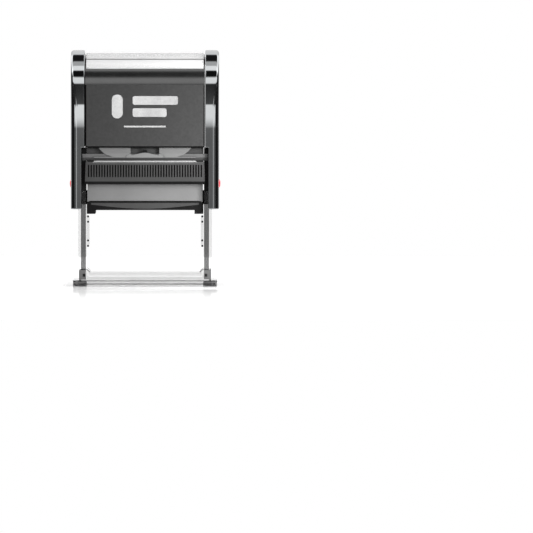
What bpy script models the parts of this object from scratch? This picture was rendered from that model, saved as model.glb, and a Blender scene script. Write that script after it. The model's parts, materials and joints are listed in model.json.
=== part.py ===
"""A self inking stamp: a sprung housing slides down over two legs and turns its text plate over.

Frame: metres, +Z up, +X to the right, front at -Y. The origin is at the centre of the foot's underside.
Everything is drawn at rest, with the housing up and the text plate against the ink pad.
"""

import math

import bmesh
import bpy
from mathutils import Matrix, Vector

# Fit
GAP = 0.0003
HAIR = 0.00015

# Foot
FOOT_HALF_WIDTH = 0.0382
HALF_DEPTH = 0.0285
FOOT_THICKNESS = 0.0033
FOOT_CORNER = 0.003
FOOT_CORNER_STEPS = 4
WINDOW_HALF_WIDTH = 0.0309
WINDOW_HALF_DEPTH = 0.0240
RIM_THICKNESS = 0.0015
RIM_TOP = 0.0076
GUSSET_TOP = 0.0106
GUSSET_WIDTH = 0.0021

# Legs
LEG_INNER = 0.0312
LEG_OUTER = 0.0339
LEG_HALF_DEPTH = 0.0225
LEG_TOP = 0.0730
FLANGE_OUTER = 0.0352
FLANGE_DEPTH = 0.0020
FLANGE_BOTTOM = 0.0090
SLOT_HALF_WIDTH = 0.0029
SLOT_BOTTOM = 0.0057
SLOT_TOP = 0.0580
LEDGE_INNER = 0.0299
LEDGE_BOTTOM = 0.0583
LEDGE_TOP = 0.0592
CLIP_TOP = 0.0087
CLIP_STRIP_TOP = 0.0056
CLIP_OUTER = 0.0349
CLIP_DEPTH = 0.0027

# Cam rails beside the slot
CAM_INNER = 0.0295
CAM_BOTTOM = 0.0204
CAM_TOP = 0.0379
CAM_NEAR = 0.0030
CAM_FAR = 0.0050

# Bridge over the ink pad
BRIDGE_BOTTOM = 0.0663
BRIDGE_WALL = 0.0014
RAIL_HALF_WIDTH = 0.0332
RAIL_BOTTOM = 0.0665
RAIL_TOP = 0.0697
RAIL_FRONT = 0.0242
TRIM_FRONT = 0.0251
WING_OUTER_TOP = 0.0245
WING_OUTER_BOTTOM = 0.0165
WING_INNER_TOP = 0.0075
WING_INNER_BOTTOM = 0.0102
WING_BOTTOM = 0.0681
LATCH_BOTTOM = 0.0672
LATCH_SHOULDER = 0.0683
LATCH_CREST = 0.0699
LATCH_STEPS = 6
NUB_HALF_WIDTH = 0.0013
NUB_TOP = 0.0720

# Axle
AXLE_HEIGHT = 0.04575
PIN_RADIUS = 0.0015
PIN_HEAD_RADIUS = 0.0026
PIN_HEAD_INNER = 0.0240
PIN_HEAD_OUTER = 0.0250
PIN_OUTER = 0.0362
HOLE_RADIUS = PIN_RADIUS + GAP

# Yoke inside the housing
ARM_INNER = 0.0343
ARM_OUTER = 0.0364
ARM_HALF_DEPTH = 0.0040
ARM_BOTTOM = 0.0430
BLOCK_INNER = 0.0302
BLOCK_HALF_DEPTH = 0.0026
BLOCK_TOP = 0.0506
CROSSBAR_BOTTOM = 0.1170
CROSSBAR_TOP = 0.1209
CROSSBAR_HALF_DEPTH = 0.0060

# Return springs
SPRING_X = 0.0220
SPRING_RADIUS = 0.0042
SPRING_WIRE = 0.0008
SPRING_TURNS = 7
SPRING_END_CLOSING = 0.6
SPRING_TURN_STEPS = 12
SPRING_WIRE_SIDES = 5
POST_RADIUS = 0.0027
POST_TOP = 0.0780
PEG_LENGTH = 0.0013

# Ink pad cartridge
PAD_FACE = 0.0548
PAD_TOP = 0.0597
PAD_HALF_WIDTH = 0.0287
PAD_HALF_DEPTH = 0.0220
TRAY_HALF_WIDTH = 0.0296
TRAY_REAR = 0.0240
TRAY_FRONT = 0.0233
TRAY_END_BOTTOM = 0.0574
CARTRIDGE_HALF_WIDTH = 0.0309
CARTRIDGE_TOP = 0.0660
GRIP_BOTTOM = 0.0543
GRIP_TOP_HALF_WIDTH = 0.03135
GRIP_BOTTOM_HALF_WIDTH = 0.0318
GRIP_SLAB_FRONT = 0.0245
RIB_COUNT = 43
RIB_PITCH = 0.00142
RIB_WIDTH = 0.0008
RIB_BOTTOM = 0.0578
RIB_TOP = 0.0644

# Turning plate, heights measured from the axle with the die up
PLATE_HALF_WIDTH = 0.0290
PLATE_HALF_DEPTH = 0.0200
SKIRT_HALF_WIDTH = 0.0308
SKIRT_BOTTOM = -0.00545
SKIRT_TOP = -0.00125
SKIRT_CORNER = 0.0012
FEET_BOTTOM = -0.00745
FEET_INNER = 0.0262
BOX_HALF_DEPTH = 0.0183
BOX_WALL = 0.0013
DECK_BOTTOM = 0.0029
DECK_TOP = 0.0041
BOSS_RADIUS = 0.0036
BOSS_INNER = 0.0253
TEXT_PLATE_WALL = 0.0013
TEXT_PLATE_HALF_WIDTH = 0.0305
TEXT_PLATE_FLOOR = 0.0044
TEXT_PLATE_FLOOR_TOP = 0.0056
TEXT_PLATE_TOP = 0.0083
CUSHION_BOTTOM = 0.0059
CUSHION_TOP = 0.0067
DIE_BOTTOM = 0.0070
DIE_SHEET_TOP = 0.0076
DIE_FACE = 0.00875
DIE_HALF_WIDTH = 0.0286
DIE_HALF_DEPTH = 0.0183
DIE_BORDER_HALF_WIDTH = 0.0275
DIE_BORDER_HALF_DEPTH = 0.0172
DIE_BORDER_WIDTH = 0.0008
DIE_BAR_HALF_WIDTHS = (0.0190, 0.0230, 0.0150, 0.0210)
DIE_BAR_DEPTH = 0.0024
DIE_BAR_PITCH = 0.0072

# Housing
HOUSING_HALF_WIDTH = 0.0392
HOUSING_TOP = 0.1248
HOUSING_BOTTOM = 0.0409
SHOULDER_RADIUS = 0.0180
SHOULDER_STEPS = 10
SHOULDER_Y = HALF_DEPTH - SHOULDER_RADIUS
SHOULDER_Z = HOUSING_TOP - SHOULDER_RADIUS
ARCH_INNER = 0.0319
PILLAR_INNER = 0.0335
PANEL_BOTTOM = 0.0734
SIDE_THICKNESS = 0.0012
RETURN_THICKNESS = 0.0015
ARCH_BEVEL = 0.0024
ARCH_BEVEL_STEPS = 2
CAP_HALF_WIDTH = ARCH_INNER - GAP
CAP_RADIUS = 0.0176
CAP_RECESS_RADIUS = 0.0157
CAP_INNER_RADIUS = 0.0144
CAP_WALL_OUTER = 0.0268
CAP_WALL_INNER = 0.0255
CAP_NECK = 0.1104
CAP_INNER_START = math.radians(24.0)
CAP_EDGE_STEPS = 4
LABEL_TOP = 0.1063
LABEL_BACK = 0.0271
LABEL_HALF_WIDTH = 0.0313
WINDOW_START = math.radians(30.4)
WINDOW_INNER_RADIUS = 0.0166
CARD_OUTER_RADIUS = 0.0163
CARD_INNER_RADIUS = 0.0160
CARD_HALF_WIDTH = 0.0310
WINDOW_END_GAP = math.radians(1.1)

# Lock buttons
BUTTON_Z = 0.05415
BUTTON_HALF_HEIGHT = 0.00245
BUTTON_HALF_DEPTH = 0.0052
BUTTON_OUTER = 0.0399
BUTTON_BACK = 0.0379
BUTTON_EAR_INNER = 0.0372
BUTTON_EAR_OUTER = 0.0377
BUTTON_EAR_HALF_DEPTH = 0.0080
BUTTON_RECESS_HALF_DEPTH = 0.0043
BUTTON_ROUND_STEPS = 5
STEM_HALF_DEPTH = 0.0018
STEM_HALF_HEIGHT = 0.0019
STEM_INNER = 0.0328

ROUND_STEPS = 16
SMOOTH_ANGLE = math.radians(40.0)
OVERLAP = 0.0005
THROUGH = 0.002
ORIGIN_SIZE = 0.005


def clear_scene():
    """Removes whatever the scene holds."""
    for old in list(bpy.data.objects):
        bpy.data.objects.remove(old, do_unlink=True)


def plastic(name, color, roughness, metallic=0.0, alpha=1.0):
    """A Principled material."""
    material = bpy.data.materials.new(name)
    material.use_nodes = True
    shader = material.node_tree.nodes["Principled BSDF"]
    shader.inputs["Base Color"].default_value = (*color, 1.0)
    shader.inputs["Roughness"].default_value = roughness
    shader.inputs["Metallic"].default_value = metallic
    shader.inputs["Alpha"].default_value = alpha
    return material


def finish_object(name, bm, material):
    """Turns a bmesh into a named object with its faces pointing out."""
    bmesh.ops.recalc_face_normals(bm, faces=bm.faces)
    mesh = bpy.data.meshes.new(name)
    bm.to_mesh(mesh)
    bm.free()
    made = bpy.data.objects.new(name, mesh)
    bpy.context.collection.objects.link(made)
    if material is not None:
        mesh.materials.append(material)
    return made


def prism(name, outline, axis, low, high, material=None):
    """An outline pushed along an axis. The outline is (y, z) along X, (x, z) along Y, (x, y) along Z."""
    place = {
        "X": lambda a, b, along: Vector((along, a, b)),
        "Y": lambda a, b, along: Vector((a, along, b)),
        "Z": lambda a, b, along: Vector((a, b, along)),
    }[axis]
    bm = bmesh.new()
    start = [bm.verts.new(place(a, b, low)) for a, b in outline]
    end = [bm.verts.new(place(a, b, high)) for a, b in outline]
    bm.faces.new(start)
    bm.faces.new(end)
    count = len(outline)
    for i in range(count):
        j = (i + 1) % count
        bm.faces.new((start[i], start[j], end[j], end[i]))
    return finish_object(name, bm, material)


def block(name, low, high, material=None):
    """A box between two corners, with its origin at its centre."""
    centre = (Vector(low) + Vector(high)) / 2
    size = Vector(high) - Vector(low)
    bm = bmesh.new()
    bmesh.ops.create_cube(bm, size=1.0)
    bmesh.ops.scale(bm, vec=size, verts=bm.verts)
    made = finish_object(name, bm, material)
    made.location = centre
    return made


def mirrored_blocks(name, low, high):
    """The same box in front and behind: low and high give the rear one."""
    rear = block(f"{name}_rear", low, high)
    front = block(f"{name}_front", (low[0], -high[1], low[2]), (high[0], -low[1], high[2]))
    return rear, front


def rod(name, radius, start, end, material=None):
    """A round bar along X or Z between two points."""
    start = Vector(start)
    end = Vector(end)
    along = end - start
    bm = bmesh.new()
    bmesh.ops.create_cone(
        bm,
        cap_ends=True,
        segments=ROUND_STEPS,
        radius1=radius,
        radius2=radius,
        depth=along.length,
    )
    made = finish_object(name, bm, material)
    made.rotation_mode = "QUATERNION"
    made.rotation_quaternion = along.to_track_quat("Z", "Y")
    made.location = (start + end) / 2
    made.data.shade_smooth()
    made.data.set_sharp_from_angle(angle=SMOOTH_ANGLE)
    return made


def use_tool(target, tool, operation):
    """Adds a Boolean to the target. The tool is a guide and isn't part of the model."""
    tool.hide_render = True
    tool.display_type = "WIRE"
    modifier = target.modifiers.new(f"{operation.lower()}_{tool.name}", "BOOLEAN")
    modifier.operation = operation
    modifier.object = tool
    modifier.solver = "EXACT"


def fuse(target, *tools):
    """Joins the tools to the target."""
    for tool in tools:
        use_tool(target, tool, "UNION")


def carve(target, *tools):
    """Cuts the tools out of the target."""
    for tool in tools:
        use_tool(target, tool, "DIFFERENCE")


def side_name(side):
    """The word for a side: -1 is left and 1 is right."""
    return "left" if side < 0 else "right"


def across(side, inner, outer):
    """Low and high x of something between two distances from the middle, on one side."""
    return min(side * inner, side * outer), max(side * inner, side * outer)


def side_block(name, side, inner, outer, y_range, z_range, material=None):
    """A box between two distances from the middle, on one side."""
    x_low, x_high = across(side, inner, outer)
    return block(name, (x_low, y_range[0], z_range[0]), (x_high, y_range[1], z_range[1]), material)


def arc(centre, radius, start, end, steps):
    """Points on a circle from one angle to another."""
    angles = [start + (end - start) * i / steps for i in range(steps + 1)]
    return [(centre[0] + radius * math.cos(a), centre[1] + radius * math.sin(a)) for a in angles]


def rounded_rectangle(half_a, half_b, radius, steps, centre=(0.0, 0.0)):
    """A rectangle with round corners."""
    points = []
    for quarter, (sign_a, sign_b) in enumerate(((1, 1), (-1, 1), (-1, -1), (1, -1))):
        corner = (centre[0] + sign_a * (half_a - radius), centre[1] + sign_b * (half_b - radius))
        start = quarter * math.pi / 2
        points += arc(corner, radius, start, start + math.pi / 2, steps)
    return points


def shoulders(radius, start=0.0):
    """The crown from the front shoulder over to the rear one, at a radius about the shoulder centres."""
    front = arc((-SHOULDER_Y, SHOULDER_Z), radius, math.pi - start, math.pi / 2, SHOULDER_STEPS)
    rear = arc((SHOULDER_Y, SHOULDER_Z), radius, math.pi / 2, start, SHOULDER_STEPS)
    return front + rear


def crown(radius, bottom):
    """The shoulders with straight sides down to the bottom."""
    half = SHOULDER_Y + radius
    return [(-half, bottom)] + shoulders(radius) + [(half, bottom)]


def coil(name, x, bottom, top, material):
    """A compression spring with closed end turns."""
    steps = SPRING_TURNS * SPRING_TURN_STEPS
    wire = SPRING_WIRE / 2
    bm = bmesh.new()
    rings = []
    for i in range(steps + 1):
        part = i / steps
        angle = math.tau * SPRING_TURNS * part
        rise = part - math.sin(math.tau * part) / math.tau * SPRING_END_CLOSING
        centre = Vector(
            (
                x + SPRING_RADIUS * math.cos(angle),
                SPRING_RADIUS * math.sin(angle),
                bottom + wire + (top - bottom - SPRING_WIRE) * rise,
            )
        )
        out = Vector((math.cos(angle), math.sin(angle), 0))
        ring = []
        for k in range(SPRING_WIRE_SIDES):
            turn = math.tau * k / SPRING_WIRE_SIDES
            offset = out * math.cos(turn) + Vector((0, 0, 1)) * math.sin(turn)
            ring.append(bm.verts.new(centre + offset * wire))
        rings.append(ring)
    for near, far in zip(rings, rings[1:]):
        for k in range(SPRING_WIRE_SIDES):
            j = (k + 1) % SPRING_WIRE_SIDES
            bm.faces.new((near[k], near[j], far[j], far[k]))
    bm.faces.new(rings[0])
    bm.faces.new(rings[-1])
    return finish_object(name, bm, material)


def make_foot(clear):
    """The foot plate with its window, and a low rim in front and behind with corner gussets."""
    outline = rounded_rectangle(FOOT_HALF_WIDTH, HALF_DEPTH, FOOT_CORNER, FOOT_CORNER_STEPS)
    foot = prism("foot_frame", outline, "Z", 0.0, FOOT_THICKNESS, clear)
    window = block(
        "foot_window_cutter",
        (-WINDOW_HALF_WIDTH, -WINDOW_HALF_DEPTH, -THROUGH),
        (WINDOW_HALF_WIDTH, WINDOW_HALF_DEPTH, FOOT_THICKNESS + THROUGH),
    )
    carve(foot, window)
    half = LEG_INNER - HAIR
    inner = half - GUSSET_WIDTH
    top = half - OVERLAP
    right = [(inner, RIM_TOP), (top, GUSSET_TOP), (half, GUSSET_TOP), (half, FOOT_THICKNESS - OVERLAP)]
    rim_outline = [(-x, z) for x, z in reversed(right)] + right
    near = WINDOW_HALF_DEPTH
    far = near + RIM_THICKNESS
    rear = prism("foot_rim_rear_tool", rim_outline, "Y", near, far)
    front = prism("foot_rim_front_tool", rim_outline, "Y", -far, -near)
    fuse(foot, rear, front)


def make_clip(side, dark):
    """A clip on the foot that hooks round the front and rear edges of one leg."""
    name = f"foot_clip_{side_name(side)}"
    bottom = FOOT_THICKNESS + GAP
    near = LEG_HALF_DEPTH + GAP
    far = near + CLIP_DEPTH
    strip = side_block(name, side, LEG_OUTER + GAP, CLIP_OUTER, (-far, far), (bottom, CLIP_STRIP_TOP), dark)
    x_low, x_high = across(side, LEG_INNER + HAIR, CLIP_OUTER)
    fuse(strip, *mirrored_blocks(f"{name}_hook_tool", (x_low, near, bottom), (x_high, far, CLIP_TOP)))


def make_leg(side, smoky):
    """A leg: a web with a slot for the axle, two guide flanges outside and two ledges inside."""
    name = f"leg_{side_name(side)}"
    bottom = FOOT_THICKNESS + GAP
    depth = (-LEG_HALF_DEPTH, LEG_HALF_DEPTH)
    leg = side_block(name, side, LEG_INNER, LEG_OUTER, depth, (bottom, LEG_TOP), smoky)
    x_low, x_high = across(side, LEG_OUTER - OVERLAP, FLANGE_OUTER)
    near = LEG_HALF_DEPTH - FLANGE_DEPTH
    flanges = mirrored_blocks(
        f"{name}_flange_tool", (x_low, near, FLANGE_BOTTOM), (x_high, LEG_HALF_DEPTH, LEG_TOP)
    )
    ledge = side_block(
        f"{name}_ledge_tool", side, LEDGE_INNER, LEG_INNER + OVERLAP, depth, (LEDGE_BOTTOM, LEDGE_TOP)
    )
    fuse(leg, *flanges, ledge)
    slot = side_block(
        f"{name}_slot_cutter",
        side,
        LEG_INNER - THROUGH,
        LEG_OUTER + THROUGH,
        (-SLOT_HALF_WIDTH, SLOT_HALF_WIDTH),
        (SLOT_BOTTOM, SLOT_TOP),
    )
    carve(leg, slot)


def make_cam(side, end, clear):
    """A cam rail beside the slot, with sloped ends that meet the turning plate gently."""
    name = f"flip_cam_{side_name(side)}_{'front' if end < 0 else 'rear'}"
    face = LEG_INNER - GAP
    slope = face - CAM_INNER
    outline = [
        (side * face, CAM_BOTTOM),
        (side * CAM_INNER, CAM_BOTTOM + slope),
        (side * CAM_INNER, CAM_TOP - slope),
        (side * face, CAM_TOP),
    ]
    low, high = sorted((end * CAM_NEAR, end * CAM_FAR))
    prism(name, outline, "Y", low, high, clear)


def make_bridge(dark):
    """The bridge that joins the legs above the ink pad, open below."""
    half = LEG_INNER - GAP
    depth = LEG_HALF_DEPTH - GAP
    bridge = block("base_bridge", (-half, -depth, BRIDGE_BOTTOM), (half, depth, LEG_TOP), dark)
    hollow = block(
        "base_bridge_hollow_cutter",
        (-half + BRIDGE_WALL, -depth + BRIDGE_WALL, BRIDGE_BOTTOM - THROUGH),
        (half - BRIDGE_WALL, depth - BRIDGE_WALL, LEG_TOP - BRIDGE_WALL),
    )
    carve(bridge, hollow)


def make_rail_trim(dark, light):
    """The rail across the front of the bridge, its two wings and the catch between them."""
    block(
        "front_rail",
        (-RAIL_HALF_WIDTH, -RAIL_FRONT, RAIL_BOTTOM),
        (RAIL_HALF_WIDTH, -LEG_HALF_DEPTH - GAP, RAIL_TOP),
        dark,
    )
    front = -TRIM_FRONT
    back = -RAIL_FRONT - GAP
    for side in (-1, 1):
        outline = [
            (side * WING_OUTER_TOP, LEG_TOP),
            (side * (WING_OUTER_TOP + WING_OUTER_BOTTOM) / 2, (LEG_TOP + WING_BOTTOM) / 2 - GAP),
            (side * WING_OUTER_BOTTOM, WING_BOTTOM),
            (side * WING_INNER_BOTTOM, WING_BOTTOM),
            (side * WING_INNER_TOP, RAIL_TOP),
            (side * WING_INNER_TOP, LEG_TOP),
        ]
        prism(f"rail_wing_{side_name(side)}", outline, "Y", front, back, light)
    latch_half = WING_INNER_TOP - GAP
    dome_rise = LATCH_CREST - LATCH_SHOULDER
    dome_radius = (latch_half**2 + dome_rise**2) / (2 * dome_rise)
    dome_angle = math.asin(latch_half / dome_radius)
    dome = arc(
        (0.0, LATCH_CREST - dome_radius),
        dome_radius,
        math.pi / 2 - dome_angle,
        math.pi / 2 + dome_angle,
        LATCH_STEPS,
    )
    outline = dome + [(-latch_half, LATCH_BOTTOM), (latch_half, LATCH_BOTTOM)]
    latch = prism("pad_latch", outline, "Y", front, back, dark)
    nub = block(
        "pad_latch_nub_tool",
        (-NUB_HALF_WIDTH, front + GAP, LATCH_CREST - OVERLAP),
        (NUB_HALF_WIDTH, back, NUB_TOP),
    )
    fuse(latch, nub)


def make_cartridge(black):
    """The ink pad's cartridge: a shallow box open below, on shoulders that ride on the legs' ledges."""
    shoulder = LEDGE_TOP + GAP
    cartridge = block(
        "pad_cartridge",
        (-CARTRIDGE_HALF_WIDTH, -TRAY_FRONT, shoulder),
        (CARTRIDGE_HALF_WIDTH, TRAY_REAR, CARTRIDGE_TOP),
        black,
    )
    skirt = block(
        "cartridge_skirt_tool",
        (-TRAY_HALF_WIDTH, -TRAY_FRONT, TRAY_END_BOTTOM),
        (TRAY_HALF_WIDTH, TRAY_REAR, shoulder + OVERLAP),
    )
    wall_near = PAD_HALF_DEPTH + GAP
    rear_lip = block(
        "cartridge_rear_lip_tool",
        (-TRAY_HALF_WIDTH, wall_near, PAD_FACE),
        (TRAY_HALF_WIDTH, TRAY_REAR, TRAY_END_BOTTOM + OVERLAP),
    )
    front_lip = block(
        "cartridge_front_lip_tool",
        (-TRAY_HALF_WIDTH, -TRAY_FRONT, PAD_FACE),
        (TRAY_HALF_WIDTH, -wall_near, TRAY_END_BOTTOM + OVERLAP),
    )
    fuse(cartridge, skirt, rear_lip, front_lip)
    half = PAD_HALF_WIDTH + GAP
    bay = block(
        "cartridge_bay_cutter",
        (-half, -wall_near, PAD_FACE - THROUGH),
        (half, wall_near, PAD_TOP + GAP),
    )
    carve(cartridge, bay)
    return cartridge


def make_ink_pad(felt):
    """The felt pad, facing down."""
    return block(
        "ink_pad",
        (-PAD_HALF_WIDTH, -PAD_HALF_DEPTH, PAD_FACE),
        (PAD_HALF_WIDTH, PAD_HALF_DEPTH, PAD_TOP),
        felt,
    )


def make_grip(grey):
    """The cartridge's front bar, with upright grip ribs standing on it."""
    outline = [
        (-GRIP_BOTTOM_HALF_WIDTH, GRIP_BOTTOM),
        (GRIP_BOTTOM_HALF_WIDTH, GRIP_BOTTOM),
        (GRIP_TOP_HALF_WIDTH, CARTRIDGE_TOP),
        (-GRIP_TOP_HALF_WIDTH, CARTRIDGE_TOP),
    ]
    grip = prism("pad_grip", outline, "Y", -GRIP_SLAB_FRONT, -TRAY_FRONT - GAP, grey)
    comb = bmesh.new()
    first = -(RIB_COUNT - 1) / 2 * RIB_PITCH
    depth = TRIM_FRONT - GRIP_SLAB_FRONT + OVERLAP
    for i in range(RIB_COUNT):
        centre = (first + i * RIB_PITCH, -TRIM_FRONT + depth / 2, (RIB_BOTTOM + RIB_TOP) / 2)
        made = bmesh.ops.create_cube(comb, size=1.0)["verts"]
        bmesh.ops.scale(comb, vec=(RIB_WIDTH, depth, RIB_TOP - RIB_BOTTOM), verts=made)
        bmesh.ops.translate(comb, vec=centre, verts=made)
    ribs = finish_object("pad_grip_ribs_tool", comb, None)
    fuse(grip, ribs)
    return grip


def make_carrier(black):
    """The turning carrier: an open box with axle bosses, and a skirt with feet in front and behind."""
    box = block(
        "plate_carrier",
        (-PLATE_HALF_WIDTH, -BOX_HALF_DEPTH, AXLE_HEIGHT + SKIRT_BOTTOM),
        (PLATE_HALF_WIDTH, BOX_HALF_DEPTH, AXLE_HEIGHT + DECK_TOP),
        black,
    )
    inner_half = PLATE_HALF_WIDTH - BOX_WALL
    hollow = block(
        "carrier_hollow_cutter",
        (-inner_half, -BOX_HALF_DEPTH + BOX_WALL, AXLE_HEIGHT + SKIRT_BOTTOM - THROUGH),
        (inner_half, BOX_HALF_DEPTH - BOX_WALL, AXLE_HEIGHT + DECK_BOTTOM),
    )
    carve(box, hollow)
    bottom = AXLE_HEIGHT + SKIRT_BOTTOM
    top = AXLE_HEIGHT + SKIRT_TOP
    feet = AXLE_HEIGHT + FEET_BOTTOM
    right = [
        (FEET_INNER, bottom),
        (FEET_INNER, feet),
        (SKIRT_HALF_WIDTH, feet),
        (SKIRT_HALF_WIDTH, top - SKIRT_CORNER),
        (SKIRT_HALF_WIDTH - SKIRT_CORNER, top),
    ]
    outline = right + [(-x, z) for x, z in reversed(right)]
    near = BOX_HALF_DEPTH + GAP
    rear = prism("carrier_skirt_rear_tool", outline, "Y", near, PLATE_HALF_DEPTH)
    front = prism("carrier_skirt_front_tool", outline, "Y", -PLATE_HALF_DEPTH, -near)
    ties = mirrored_blocks(
        "carrier_tie_tool",
        (-PLATE_HALF_WIDTH, BOX_HALF_DEPTH - OVERLAP, bottom),
        (PLATE_HALF_WIDTH, near + OVERLAP, top),
    )
    fuse(box, rear, front, *ties)
    for side in (-1, 1):
        boss = rod(
            f"carrier_boss_{side_name(side)}_tool",
            BOSS_RADIUS,
            (side * BOSS_INNER, 0, AXLE_HEIGHT),
            (side * (PLATE_HALF_WIDTH - GAP), 0, AXLE_HEIGHT),
        )
        fuse(box, boss)
    for side in (-1, 1):
        bore = rod(
            f"carrier_bore_{side_name(side)}_cutter",
            HOLE_RADIUS,
            (side * (BOSS_INNER - THROUGH), 0, AXLE_HEIGHT),
            (side * (PLATE_HALF_WIDTH + THROUGH), 0, AXLE_HEIGHT),
        )
        carve(box, bore)
    return box


def make_text_plate(grey):
    """The tray that clips over the carrier: a floor and two long side walls."""
    floor = block(
        "text_plate",
        (-PLATE_HALF_WIDTH, -PLATE_HALF_DEPTH + OVERLAP, AXLE_HEIGHT + TEXT_PLATE_FLOOR),
        (PLATE_HALF_WIDTH, PLATE_HALF_DEPTH - OVERLAP, AXLE_HEIGHT + TEXT_PLATE_FLOOR_TOP),
        grey,
    )
    walls = mirrored_blocks(
        "text_plate_wall_tool",
        (
            -TEXT_PLATE_HALF_WIDTH,
            PLATE_HALF_DEPTH - TEXT_PLATE_WALL,
            AXLE_HEIGHT + SKIRT_TOP + GAP,
        ),
        (TEXT_PLATE_HALF_WIDTH, PLATE_HALF_DEPTH, AXLE_HEIGHT + TEXT_PLATE_TOP),
    )
    fuse(floor, *walls)
    return floor


def make_cushion(foam):
    """The foam sheet between the tray and the die."""
    return block(
        "plate_cushion",
        (-DIE_HALF_WIDTH, -DIE_HALF_DEPTH, AXLE_HEIGHT + CUSHION_BOTTOM),
        (DIE_HALF_WIDTH, DIE_HALF_DEPTH, AXLE_HEIGHT + CUSHION_TOP),
        foam,
    )


def make_die(rubber):
    """The rubber die: a sheet with a raised border and four raised bars."""
    sheet_top = AXLE_HEIGHT + DIE_SHEET_TOP
    face = AXLE_HEIGHT + DIE_FACE
    root = sheet_top - HAIR
    die = block(
        "rubber_die",
        (-DIE_HALF_WIDTH, -DIE_HALF_DEPTH, AXLE_HEIGHT + DIE_BOTTOM),
        (DIE_HALF_WIDTH, DIE_HALF_DEPTH, sheet_top),
        rubber,
    )
    wide = DIE_BORDER_HALF_WIDTH
    deep = DIE_BORDER_HALF_DEPTH
    near = deep - DIE_BORDER_WIDTH
    fuse(die, *mirrored_blocks("die_border_tool", (-wide, near, root), (wide, deep, face)))
    for side in (-1, 1):
        end = side_block(
            f"die_border_{side_name(side)}_tool",
            side,
            wide - DIE_BORDER_WIDTH,
            wide,
            (-deep + OVERLAP, deep - OVERLAP),
            (root, face),
        )
        fuse(die, end)
    first = (len(DIE_BAR_HALF_WIDTHS) - 1) / 2 * DIE_BAR_PITCH
    for i, half in enumerate(DIE_BAR_HALF_WIDTHS):
        y = first - i * DIE_BAR_PITCH
        bar = block(
            f"die_bar_{i}_tool",
            (-half, y - DIE_BAR_DEPTH / 2, root),
            (half, y + DIE_BAR_DEPTH / 2, face),
        )
        fuse(die, bar)
    return die


def make_pin(side, steel):
    """An axle pin with a head inside the carrier."""
    name = f"axle_pin_{side_name(side)}"
    pin = rod(
        name,
        PIN_RADIUS,
        (side * (PIN_HEAD_OUTER - OVERLAP), 0, AXLE_HEIGHT),
        (side * PIN_OUTER, 0, AXLE_HEIGHT),
        steel,
    )
    head = rod(
        f"{name}_head_tool",
        PIN_HEAD_RADIUS,
        (side * PIN_HEAD_INNER, 0, AXLE_HEIGHT),
        (side * PIN_HEAD_OUTER, 0, AXLE_HEIGHT),
    )
    fuse(pin, head)
    return pin


def make_yoke(black):
    """The yoke in the housing: a crossbar, two arms, and blocks that slide in the legs' slots."""
    depth = CROSSBAR_HALF_DEPTH
    yoke = block(
        "carrier_yoke", (-ARM_OUTER, -depth, CROSSBAR_BOTTOM), (ARM_OUTER, depth, CROSSBAR_TOP), black
    )
    for side in (-1, 1):
        name = side_name(side)
        arm = side_block(
            f"yoke_arm_{name}_tool",
            side,
            ARM_INNER,
            ARM_OUTER - HAIR,
            (-ARM_HALF_DEPTH, ARM_HALF_DEPTH),
            (ARM_BOTTOM, CROSSBAR_BOTTOM + OVERLAP),
        )
        sliding = side_block(
            f"yoke_block_{name}_tool",
            side,
            BLOCK_INNER,
            ARM_INNER + OVERLAP,
            (-BLOCK_HALF_DEPTH, BLOCK_HALF_DEPTH),
            (ARM_BOTTOM + HAIR, BLOCK_TOP),
        )
        peg = rod(
            f"yoke_peg_{name}_tool",
            POST_RADIUS,
            (side * SPRING_X, 0, CROSSBAR_BOTTOM - PEG_LENGTH),
            (side * SPRING_X, 0, CROSSBAR_BOTTOM + OVERLAP),
        )
        fuse(yoke, arm, sliding, peg)
        bore = rod(
            f"yoke_bore_{name}_cutter",
            HOLE_RADIUS,
            (side * (BLOCK_INNER - THROUGH), 0, AXLE_HEIGHT),
            (side * (ARM_OUTER + THROUGH), 0, AXLE_HEIGHT),
        )
        passage = side_block(
            f"yoke_passage_{name}_cutter",
            side,
            ARM_INNER - THROUGH,
            ARM_OUTER + THROUGH,
            (-STEM_HALF_DEPTH - GAP, STEM_HALF_DEPTH + GAP),
            (BUTTON_Z - STEM_HALF_HEIGHT - GAP, BUTTON_Z + STEM_HALF_HEIGHT + GAP),
        )
        carve(yoke, bore, passage)
    return yoke


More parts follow.
